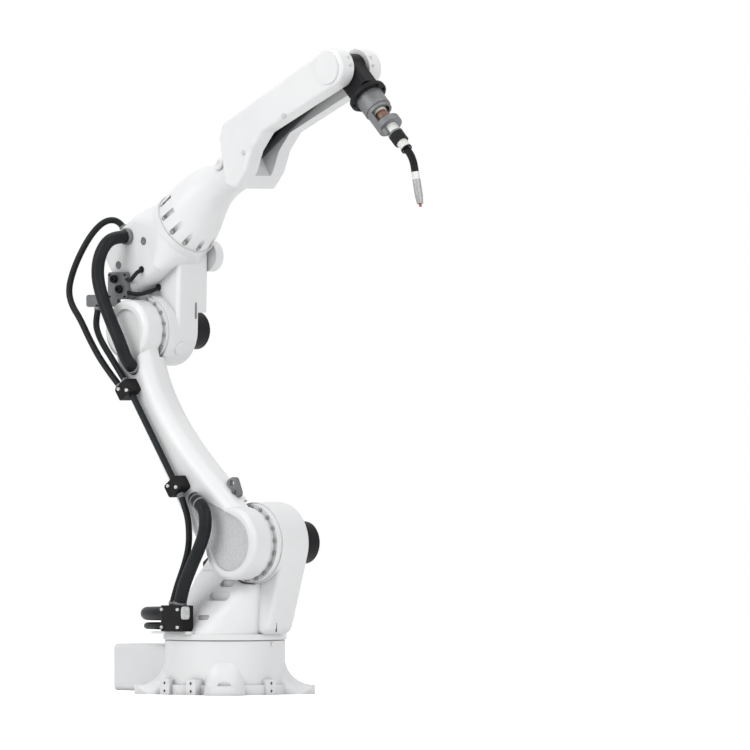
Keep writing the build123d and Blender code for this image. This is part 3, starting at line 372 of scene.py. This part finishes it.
def cushion(name, centre, first, second, sizes, body, slot, square=BLOCK_SQUARE):
    """A rounded block: centre + sum of half size * signed powers of cosines and sines of two angles.

    The powers are `square`, so that the ball turns into a box with round edges as they fall to zero.
    """
    first, second = np.asarray(first, float), np.asarray(second, float)
    third = np.cross(first, second)
    turn = np.linspace(0, FULL_TURN, CUSHION_TURNS, endpoint=False)[None, :]
    lift = np.linspace(-math.pi / 2, math.pi / 2, CUSHION_LIFTS)[:, None]

    def power(value):
        value = np.round(value, CUSHION_DIGITS)
        return np.sign(value) * np.abs(value) ** square

    half = MM * np.array(sizes, float) / 2
    a = half[0] * power(np.cos(lift)) * power(np.cos(turn))
    b = half[1] * power(np.cos(lift)) * power(np.sin(turn))
    c = half[2] * power(np.sin(lift)) * np.ones_like(turn)
    points = centre + a[..., None] * first + b[..., None] * second + c[..., None] * third
    return mesh_object(name, points.reshape(-1, 3), grid_faces(CUSHION_LIFTS, CUSHION_TURNS), body, slot)


def circle(origin, first, second, radius, count):
    """Evenly spaced points of a circle, in metres, from a radius in millimetres."""
    angle = np.linspace(0, FULL_TURN, count, endpoint=False)
    return origin + MM * radius * (np.cos(angle)[:, None] * first + np.sin(angle)[:, None] * second)


def smooth_route(route):
    """A route's points joined by parabolas from one run's middle to the next, which touch each run."""
    middles = (route[:-1] + route[1:]) / 2
    starts = np.vstack([route[:1], middles[1:-1]])
    ends = np.vstack([middles[1:-1], route[-1:]])
    t = np.linspace(0, 1, ROUTE_SAMPLES)[None, :, None]
    bends = (1 - t) ** 2 * starts[:, None] + 2 * t * (1 - t) * route[1:-1, None] + t**2 * ends[:, None]
    path = bends.reshape(-1, 3)
    keep = np.r_[True, np.linalg.norm(np.diff(path, axis=0), axis=1) > SAME_PLACE]
    return path[keep]


def even_steps(path, step):
    """A path's points at even steps along its length."""
    run = np.r_[0, np.cumsum(np.linalg.norm(np.diff(path, axis=0), axis=1))]
    marks = np.linspace(0, run[-1], max(FEWEST_HOSE_STEPS, int(run[-1] / step)))
    return np.stack([np.interp(marks, run, path[:, k]) for k in range(3)], axis=1)


def hose(name, path, radius):
    """A hose: a circle carried along its path, square to it, that shrinks to a point at both closed ends.

    The circle's first direction is the tangent's cross product with one fixed slanting direction.
    """
    tangent = np.gradient(path, axis=0)
    tangent /= np.linalg.norm(tangent, axis=1)[:, None]
    side = np.cross(tangent, SLANT)
    side /= np.linalg.norm(side, axis=1)[:, None]
    other = np.cross(tangent, side)
    angle = np.linspace(0, FULL_TURN, ROUND_SIDES, endpoint=False)
    ring = np.cos(angle)[None, :, None] * side[:, None] + np.sin(angle)[None, :, None] * other[:, None]
    walls = path[:, None] + MM * radius * ring
    ends = np.broadcast_to(path[[0, -1], None], (2, ROUND_SIDES, 3))
    points = np.concatenate([ends[:1], walls, ends[1:]]).reshape(-1, 3)
    return mesh_object(name, points, grid_faces(len(path) + 2, ROUND_SIDES), None, "black_rubber")


def node_material(name):
    """An empty node material with its surface shader, and a helper that adds and links nodes."""
    material = bpy.data.materials.new(name)
    material.use_nodes = True
    tree = material.node_tree
    shader = tree.nodes["Principled BSDF"]

    def add(kind, links=(), **values):
        node = tree.nodes.new(kind)
        for key, value in values.items():
            if hasattr(node, key) and key not in node.inputs:
                setattr(node, key, value)
            else:
                node.inputs[key].default_value = value
        for key, source in links:
            tree.links.new(source, node.inputs[key])
        return node

    return material, tree, shader, add


def finish(name, colour, shade, patch, rough, grain, bump, metal=0.0, coat=0.0, crease_shade=0.0, shine=0.5):
    """A finish of two close colours in soft patches, with a fine grain in its gloss and its surface.

    The paint can fall towards a grey in creases and corners, by an amount given per finish: painted shade.
    """
    material, tree, shader, add = node_material(name)
    place = add("ShaderNodeTexCoord").outputs["Object"]
    soft = add("ShaderNodeTexNoise", [("Vector", place)], Scale=patch, Detail=PATCH_DETAIL).outputs["Fac"]
    fine = add("ShaderNodeTexNoise", [("Vector", place)], Scale=grain, Detail=GRAIN_DETAIL).outputs["Fac"]
    ramp = add("ShaderNodeValToRGB", [("Fac", soft)])
    for stop, position, tint in zip(ramp.color_ramp.elements, PATCH_EDGES, (shade, colour)):
        stop.position = position
        stop.color = (*tint, 1)
    paint = ramp.outputs["Color"]
    if crease_shade:
        paint = shade_creases(add, paint, soft, crease_shade)
    gloss = add("ShaderNodeMapRange", [("Value", fine)])
    gloss.inputs["To Min"].default_value = rough[0]
    gloss.inputs["To Max"].default_value = rough[1]
    relief = add("ShaderNodeBump", [("Height", fine)], Strength=bump, Distance=GRAIN_DEPTH)
    tree.links.new(paint, shader.inputs["Base Color"])
    tree.links.new(gloss.outputs["Result"], shader.inputs["Roughness"])
    tree.links.new(relief.outputs["Normal"], shader.inputs["Normal"])
    shader.inputs["Metallic"].default_value = metal
    shader.inputs["Coat Weight"].default_value = coat
    shader.inputs["Specular IOR Level"].default_value = shine
    return material


def shade_creases(add, paint, soft, crease_shade):
    """Painted shade: the paint mixed towards a grey where the surface is hemmed in, more so in some patches.
    """
    open_air = add("ShaderNodeAmbientOcclusion", Distance=CREASE_REACH, samples=CREASE_SAMPLES).outputs["AO"]
    crease = add("ShaderNodeMapRange", [("Value", open_air)])
    crease.inputs["From Min"].default_value = CREASE_OPEN[0]
    crease.inputs["From Max"].default_value = CREASE_OPEN[1]
    crease.inputs["To Min"].default_value = crease_shade
    crease.inputs["To Max"].default_value = 0.0
    patchy = add("ShaderNodeMath", [(0, crease.outputs["Result"]), (1, soft)], operation="MULTIPLY")
    gained = add("ShaderNodeMath", [(0, patchy.outputs[0])], operation="MULTIPLY")
    gained.inputs[1].default_value = CREASE_SHADE_GAIN
    shaded_paint = add("ShaderNodeMix", [("Factor", gained.outputs[0])], data_type="RGBA")
    colour_in = [socket for socket in shaded_paint.inputs if socket.type == "RGBA"]
    shaded_paint.id_data.links.new(paint, colour_in[0])
    colour_in[1].default_value = (*CREASE_SHADE_GREY, 1)
    return [socket for socket in shaded_paint.outputs if socket.type == "RGBA"][0]


LOOKS = {
    # The white paint darkens in its creases and corners: painted shade.
    "white_paint": dict(
        colour=(0.73, 0.735, 0.74), shade=(0.685, 0.69, 0.70), patch=3.0,
        rough=(0.34, 0.52), grain=420, bump=0.16, coat=0.08, crease_shade=0.8,
    ),
    "black_motor": dict(
        colour=(0.010, 0.010, 0.012), shade=(0.006, 0.006, 0.007), patch=14,
        rough=(0.4, 0.6), grain=600, bump=0.25, shine=0.14,
    ),
    "black_plastic": dict(
        colour=(0.009, 0.009, 0.010), shade=(0.005, 0.005, 0.006), patch=20,
        rough=(0.42, 0.62), grain=900, bump=0.2, shine=0.14,
    ),
    "black_rubber": dict(
        colour=(0.010, 0.012, 0.014), shade=(0.006, 0.008, 0.009), patch=30,
        rough=(0.38, 0.55), grain=1100, bump=0.25, shine=0.16,
    ),
    "grey_cast": dict(
        colour=(0.55, 0.56, 0.57), shade=(0.49, 0.50, 0.51), patch=160,
        rough=(0.55, 0.8), grain=520, bump=0.8,
    ),
    "grey_metal": dict(
        colour=(0.19, 0.195, 0.2), shade=(0.14, 0.145, 0.15), patch=24,
        rough=(0.4, 0.6), grain=700, bump=0.25, metal=0.3,
    ),
    "nozzle_metal": dict(
        colour=(0.34, 0.345, 0.34), shade=(0.29, 0.295, 0.29), patch=50,
        rough=(0.42, 0.54), grain=900, bump=0.06, metal=0.4,
    ),
    "copper": dict(
        colour=(0.26, 0.09, 0.055), shade=(0.17, 0.055, 0.035), patch=80,
        rough=(0.3, 0.5), grain=900, bump=0.2, metal=0.9,
    ),
    "white_insulator": dict(
        colour=(0.72, 0.72, 0.69), shade=(0.62, 0.62, 0.59), patch=40,
        rough=(0.35, 0.5), grain=900, bump=0.15,
    ),
    "brown_insulator": dict(
        colour=(0.22, 0.12, 0.08), shade=(0.15, 0.08, 0.05), patch=60,
        rough=(0.4, 0.6), grain=700, bump=0.25,
    ),
}
FINISHES = {slot: finish(slot, **looks) for slot, looks in LOOKS.items()}


def dress_castings():
    """Every carried-over node takes the finish of its slot."""
    for name, piece in NODES.items():
        piece.data.materials.clear()
        piece.data.materials.append(FINISHES[SLOT_OF[name]])


# The hoses that bend: name, radius, first point, the route's middle points, last point and the two bodies.
HOSE_ROUTES = [
    (
        "elbow_thick_hose", THICK_HOSE, on_arm(648, -137, -40),
        ELBOW + mm([
            (38, -174, -96), (20, -184, -38), (-18, -188, 30), (-52, -190, 98),
            (-72, -190, 158), (-68, -187, 214), (-52, -172, 258), (-45, -138, 274),
        ]),
        on_forearm(117, -90, 53), ("lower_arm", "elbow"),
    ),
    (
        "elbow_outer_hose", THIN_HOSE, on_arm(617, -162, -96),
        ELBOW + mm([
            (-58, -176, -104), (-108, -182, -34), (-150, -183, 32), (-190, -181, 74), (-207, -178, 118),
            (-194, -172, 174), (-170, -158, 236), (-152, -128, 292), (-134, -92, 326), (-112, -58, 322),
        ]),
        on_forearm(85, -55, 93), ("lower_arm", "elbow"),
    ),
    (
        "elbow_thin_hose", THIN_HOSE, on_arm(617, -162, -70),
        ELBOW + mm([(-34, -159, -92), (-96, -148, -36), (-138, -130, 4), (-157, -112, 36)]),
        on_panel(-86, -102, -57), ("lower_arm", "elbow"),
    ),
    (
        "shoulder_thick_hose", THICK_HOSE, on_arm(192, -137, -50),
        mm([
            (48, -174, 575), (100, -181, 545), (106, -182, 488),
            (84, -182, 438), (43, -182, 372), (8, -182, 308),
        ]),
        on_base(-6, -181, CLAMP_TOP - CLAMP_SINK), ("lower_arm", "waist"),
    ),
    (
        "shoulder_thin_hose", THIN_HOSE, on_arm(232, -162, -70),
        mm([(2, -164, 548), (18, -165, 500), (22, -168, 434), (4, -172, 374), (-24, -177, 310)]),
        on_base(-38, -181, CLAMP_TOP - CLAMP_SINK), ("lower_arm", "waist"),
    ),
]
# The direction in which a hose passes from one body to the other, where that is not its own chord.
HOSE_LEANS = {"elbow_outer_hose": (-0.7, 0.0, 0.7)}
# Steps along a hose at which a clip sits.
HOSE_CLIPS = {"shoulder_thick_hose": (13, 18), "shoulder_thin_hose": (4,)}


def hoses_over_the_joints():
    """The hoses that cross the elbow and the shoulder, with their clips, and bands at their ends on the two
    bodies.
    """
    for name, radius, first, route, last, bodies in HOSE_ROUTES:
        path = even_steps(smooth_route(np.vstack([[first], route, [last]])), MM * HOSE_STEP)
        piece = hose(name + "_sleeve", path, radius)
        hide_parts(name)
        chord = path[-1] - path[0]
        lean = np.array(HOSE_LEANS.get(name, chord), float)
        lean /= np.linalg.norm(lean)
        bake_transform(piece)
        for step in HOSE_CLIPS.get(name, ()):
            onward = path[step + 1] - path[step]
            clip = band(f"{name}_clip_{step}", path[step], onward, radius, *HOSE_CLIP, None, "grey_metal")
            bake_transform(clip)
        for end, word, body in ((path, "first", bodies[0]), (path[::-1], "last", bodies[1])):
            inward = end[1] - end[0]
            start = end[0] + MM * HOSE_BAND_INSET * inward / np.linalg.norm(inward)
            band(f"{name}_band_{word}", start, inward, radius, *HOSE_BAND, body, "grey_metal")


def shoulder_fittings():
    """Screws of the shoulder's gear ring, the shoulder motor, the hose carriers and the lug."""
    ring = circle(SHOULDER + MM * SHOULDER_RING_SIDE * ACROSS, ARM_UP, ARM_FRONT, *SHOULDER_RING)
    screws("shoulder_ring_screws", ring, -ACROSS, HEAD["shoulder_ring"], "waist", "nozzle_metal")
    cap = circle(SHOULDER + MM * SHOULDER_CAP_SIDE * ACROSS, ARM_UP, ARM_FRONT, *SHOULDER_CAP)
    screws("shoulder_motor_screws", cap, ACROSS, HEAD["motor"], "waist", "grey_metal")
    for word, (along, back) in CARRIERS.items():
        heads = on_arm(along + CARRIER_PAIR[:, 0], CARRIER_SIDE, -back + CARRIER_PAIR[:, 1])
        screws(f"{word}_carrier_screws", heads, -ACROSS, HEAD["carrier"], "lower_arm", "white_insulator")
    screws("lug_screw", on_arm(*LUG_SCREW_PLACE), -ACROSS, HEAD["lug"], "lower_arm", "grey_metal")


def elbow_fittings():
    """Screws of the elbow's ring and covers, the housing's plugs, the connectors, glands, painted slot shade
    and pad.
    """
    ring = circle(ELBOW + MM * ELBOW_RING_SIDE * ACROSS, ARM_UP, ARM_FRONT, *ELBOW_RING)
    screws("elbow_ring_screws", ring, -ACROSS, HEAD["elbow_ring"], "elbow", "nozzle_metal")
    cap = circle(ELBOW + MM * ELBOW_CAP_SIDE * ACROSS, ARM_UP, ARM_FRONT, *ELBOW_CAP)
    screws("elbow_motor_screws", cap, ACROSS, HEAD["motor"], "elbow", "grey_metal")
    cover = circle(on_elbow(*ROLL_COVER_PLACE), FOREARM_OUT, FOREARM_UP, *ROLL_COVER)
    screws("roll_cover_screws", cover, ACROSS, HEAD["roll_cover"], "elbow", "grey_metal")
    along, rise = HOUSING_PLUG_PLACES.T
    seats = on_forearm(along, HOUSING_SIDE + HOUSING_PLUG_SINK, rise)
    plugs("roll_housing_plugs", seats, -ACROSS, *HOUSING_PLUG, "elbow", "grey_metal")
    along, rise = CONNECTOR_PLACES.T
    plugs("connector_plugs", on_panel(along, PANEL_SIDE, rise), -ACROSS, *CONNECTOR, "elbow", "black_plastic")
    along, rise = PLATE_CORNERS.T
    corners = on_panel(along, PANEL_SIDE, rise)
    screws("connector_plate_screws", corners, -ACROSS, HEAD["connector_plate"], "elbow", "black_plastic")
    for word, place in LEAD_GLAND_PLACES.items():
        bosses(f"lead_gland_{word}", by_elbow(*place), -ACROSS, *LEAD_GLAND, "elbow", "black_plastic")
    # A dark grey block on the web stands for the shade inside a slot that is not cut: painted shade.
    slot_shade = by_elbow(*WEB_SLOT_SHADE_PLACE)
    cushion("elbow_web_slot_shade", slot_shade, ACROSS, UP, WEB_SLOT_SHADE, "elbow", "grey_metal", square=STRIP_SQUARE)
    bosses("elbow_pad", by_elbow(*PAD_PLACE), PAD_OUT, *PAD, "elbow", "white_paint")
    gland = on_forearm(*THICK_GLAND_PLACE)
    band("thick_hose_gland", gland, -ACROSS, *THICK_GLAND, "elbow", "grey_metal")
    gland = on_forearm(*OUTER_GLAND_PLACE)
    band("outer_hose_gland", gland, FOREARM_UP, *OUTER_GLAND, "elbow", "grey_metal")


def forearm_fittings():
    """Screws in the neck's pockets and round the fork's ends, and the bosses of the shell and the neck."""
    angle = np.radians(NECK_FIRST_TURN + 360 / NECK_SCREWS * np.arange(NECK_SCREWS))
    out, rise = -NECK_POCKET_RADIUS * np.sin(angle), NECK_POCKET_RADIUS * np.cos(angle)
    pockets = on_forearm(NECK_POCKET_ALONG, out, rise)
    screws("neck_screws", pockets, FOREARM_OUT, HEAD["neck"], "forearm", "nozzle_metal")
    for side, word in ((-1, "right"), (1, "left")):
        for rank, turn in enumerate(np.radians(FORK_TURNS)):
            out = math.cos(turn) * FOREARM_OUT + math.sin(turn) * FOREARM_UP
            rim = WRIST + MM * (FORK_RADIUS * out + side * FORK_SIDE * ACROSS)
            screws(f"fork_rim_screw_{word}_{rank}", rim, out, HEAD["fork"], "forearm", "white_insulator")
    along, rise = SHELL_BOSS_PLACES.T
    # The shell's bosses are grey for the shade in the small pockets along the seam: painted shade.
    bosses("shell_bosses", on_forearm(along, SHELL_SIDE, rise), -ACROSS, *SHELL_BOSS, "forearm", "grey_cast")
    place = on_forearm(*NECK_BOSS_PLACE)
    bosses("neck_boss", place, NECK_BOSS_OUT, *NECK_BOSS, "forearm", "white_paint")
    top = place + MM * NECK_BOSS[1] * NECK_BOSS_OUT
    plugs("neck_plug", top, NECK_BOSS_OUT, *NECK_PLUG, "forearm", "white_insulator")


def torch_fittings():
    """Screws of the tool flange, the rings of the torch and its small bracket."""
    flange = circle(on_torch(*FLANGE_PLACE), ACROSS, TORCH_UP, *FLANGE)
    screws("tool_flange_screws", flange, TORCH_OUT, HEAD["flange"], "tool")
    for word, along in CORE_RING_PLACES.items():
        core = on_torch(along, 0, 0)
        band(f"torch_core_ring_{word}", core, TORCH_OUT, *CORE_RING, "tool", "white_insulator")
    band("torch_nut_ring", on_torch(*NUT_RING_PLACE), TORCH_OUT, *NUT_RING, "tool", "grey_metal")
    band("neck_collar_ring", on_torch(*NECK_RING_PLACE), TORCH_OUT, *NECK_RING, "tool", "black_plastic")
    bracket = on_torch(*BRACKET_PLACE)
    cushion("torch_body_bracket", bracket, TORCH_OUT, ACROSS, BRACKET, "tool", "grey_metal")


def waist_fittings():
    """The hose clamp's screws and strap, the waist motor's screws, and the zero mark with its knob."""
    along, rise = CLAMP_SCREW_PLACES.T
    heads = on_base(along, CLAMP_SIDE, rise)
    screws("hose_clamp_screws", heads, -ACROSS, HEAD["clamp"], "waist", "white_insulator")
    strap = on_base(*STRAP_PLACE)
    cushion("hose_clamp_strap", strap, ACROSS, UP, STRAP, "waist", "grey_cast", square=STRIP_SQUARE)
    heads = on_base(*STRAP_SCREW_PLACES.T)
    screws("hose_clamp_strap_screws", heads, FORWARD, HEAD["strap"], "waist", "white_insulator")
    top = on_base(*WAIST_MOTOR_CORNERS.T, WAIST_MOTOR_TOP)
    screws("waist_motor_screws", top, UP, HEAD["motor"], "waist", "grey_metal")
    line = on_base(*ZERO_LINE_PLACE)
    cushion("zero_mark_line", line, ZERO_LINE_WIDE, ZERO_LINE_LONG, ZERO_LINE, "waist", "black_plastic")
    knob = on_base(*ZERO_KNOB_PLACE)
    bosses("zero_mark_knob", knob, ZERO_KNOB_OUT, *ZERO_KNOB, "base", "white_paint")


def stage():
    """The pale floor, the white surround and soft lamps, and the level camera of the photograph."""
    scene = bpy.context.scene
    scene.view_settings.view_transform = "Standard"
    world = bpy.data.worlds.new("surround")
    scene.world = world
    world.use_nodes = True
    tree = world.node_tree
    back = tree.nodes["Background"]
    back.inputs["Color"].default_value = WHITE
    level = tree.nodes.new("ShaderNodeMapRange")
    level.inputs["To Min"].default_value = AMBIENT
    level.inputs["To Max"].default_value = 1.0
    tree.links.new(seen_directly(tree), level.inputs["Value"])
    tree.links.new(level.outputs["Result"], back.inputs["Strength"])
    floor()
    lamps()
    camera()


def seen_directly(tree):
    """One for rays that show the background itself, by eye, in gloss or through glass, and zero for light."""
    path = tree.nodes.new("ShaderNodeLightPath")
    seen = path.outputs["Is Camera Ray"]
    for other in ("Is Glossy Ray", "Is Transmission Ray"):
        either = tree.nodes.new("ShaderNodeMath")
        either.operation = "MAXIMUM"
        tree.links.new(seen, either.inputs[0])
        tree.links.new(path.outputs[other], either.inputs[1])
        seen = either.outputs[0]
    return seen


def floor():
    """A white floor that adds a little of its own light where it is seen, so that only shadow tints it.

    Its points are two circles, reach * (cos a, sin a), one wide and one tiny, a little below the feet.
    """
    material, tree, shader, add = node_material("floor")
    noise = add("ShaderNodeTexNoise", Scale=FLOOR_PATCH)
    ramp = add("ShaderNodeValToRGB", [("Fac", noise.outputs["Fac"])])
    for stop, shade in zip(ramp.color_ramp.elements, FLOOR_SHADES):
        stop.color = shade
    tree.links.new(ramp.outputs["Color"], shader.inputs["Base Color"])
    shader.inputs["Roughness"].default_value = 1.0
    shader.inputs["Emission Color"].default_value = WHITE
    glow = add("ShaderNodeMath", [(0, seen_directly(tree))], operation="MULTIPLY")
    glow.inputs[1].default_value = FLOOR_GLOW
    tree.links.new(glow.outputs[0], shader.inputs["Emission Strength"])
    angle = np.linspace(0, FULL_TURN, FLOOR_SIDES, endpoint=False)
    rim = np.stack([np.cos(angle), np.sin(angle), np.zeros(FLOOR_SIDES)], axis=1)
    points = np.vstack([FLOOR_REACH * rim, FLOOR_HOLE * rim]) - FLOOR_DROP * UP
    mesh = bpy.data.meshes.new("floor")
    mesh.from_pydata(points.tolist(), [], grid_faces(2, FLOOR_SIDES).tolist())
    mesh.materials.append(material)
    piece = bpy.data.objects.new("floor", mesh)
    bpy.context.collection.objects.link(piece)


def lamps():
    """Three large soft lamps: a key at the camera's left, a fill at its right and one above."""
    for name, place, size, power in LAMPS:
        lamp = bpy.data.lights.new(name, "AREA")
        lamp.size = size
        lamp.energy = power
        piece = bpy.data.objects.new(name, lamp)
        piece.location = Vector(place)
        piece.rotation_euler = (LAMP_AIM - Vector(place)).to_track_quat("-Z", "Y").to_euler()
        bpy.context.collection.objects.link(piece)


def camera():
    """A level camera far off at the robot's front right, with a long lens that frames the photograph."""
    lens = bpy.data.cameras.new("camera")
    lens.sensor_width = SENSOR
    lens.lens = SENSOR * CAMERA_DISTANCE / (PHOTO_SIDE * MM * MM_PER_PIXEL)
    lens.clip_end = 2 * CAMERA_DISTANCE
    piece = bpy.data.objects.new("camera", lens)
    right = np.array([math.cos(CAMERA_TURN), math.sin(CAMERA_TURN), 0])
    back = np.array([math.sin(CAMERA_TURN), -math.cos(CAMERA_TURN), 0])
    aside, rise = PHOTO_SIDE / 2 - AXIS_COLUMN, FLOOR_ROW - PHOTO_SIDE / 2
    centre = MM * MM_PER_PIXEL * (aside * right + rise * UP)
    piece.location = Vector(centre + CAMERA_DISTANCE * back)
    piece.rotation_euler = (math.pi / 2, 0, CAMERA_TURN)
    bpy.context.collection.objects.link(piece)
    bpy.context.scene.camera = piece


dress_castings()
hoses_over_the_joints()
shoulder_fittings()
elbow_fittings()
forearm_fittings()
torch_fittings()
waist_fittings()
stage()
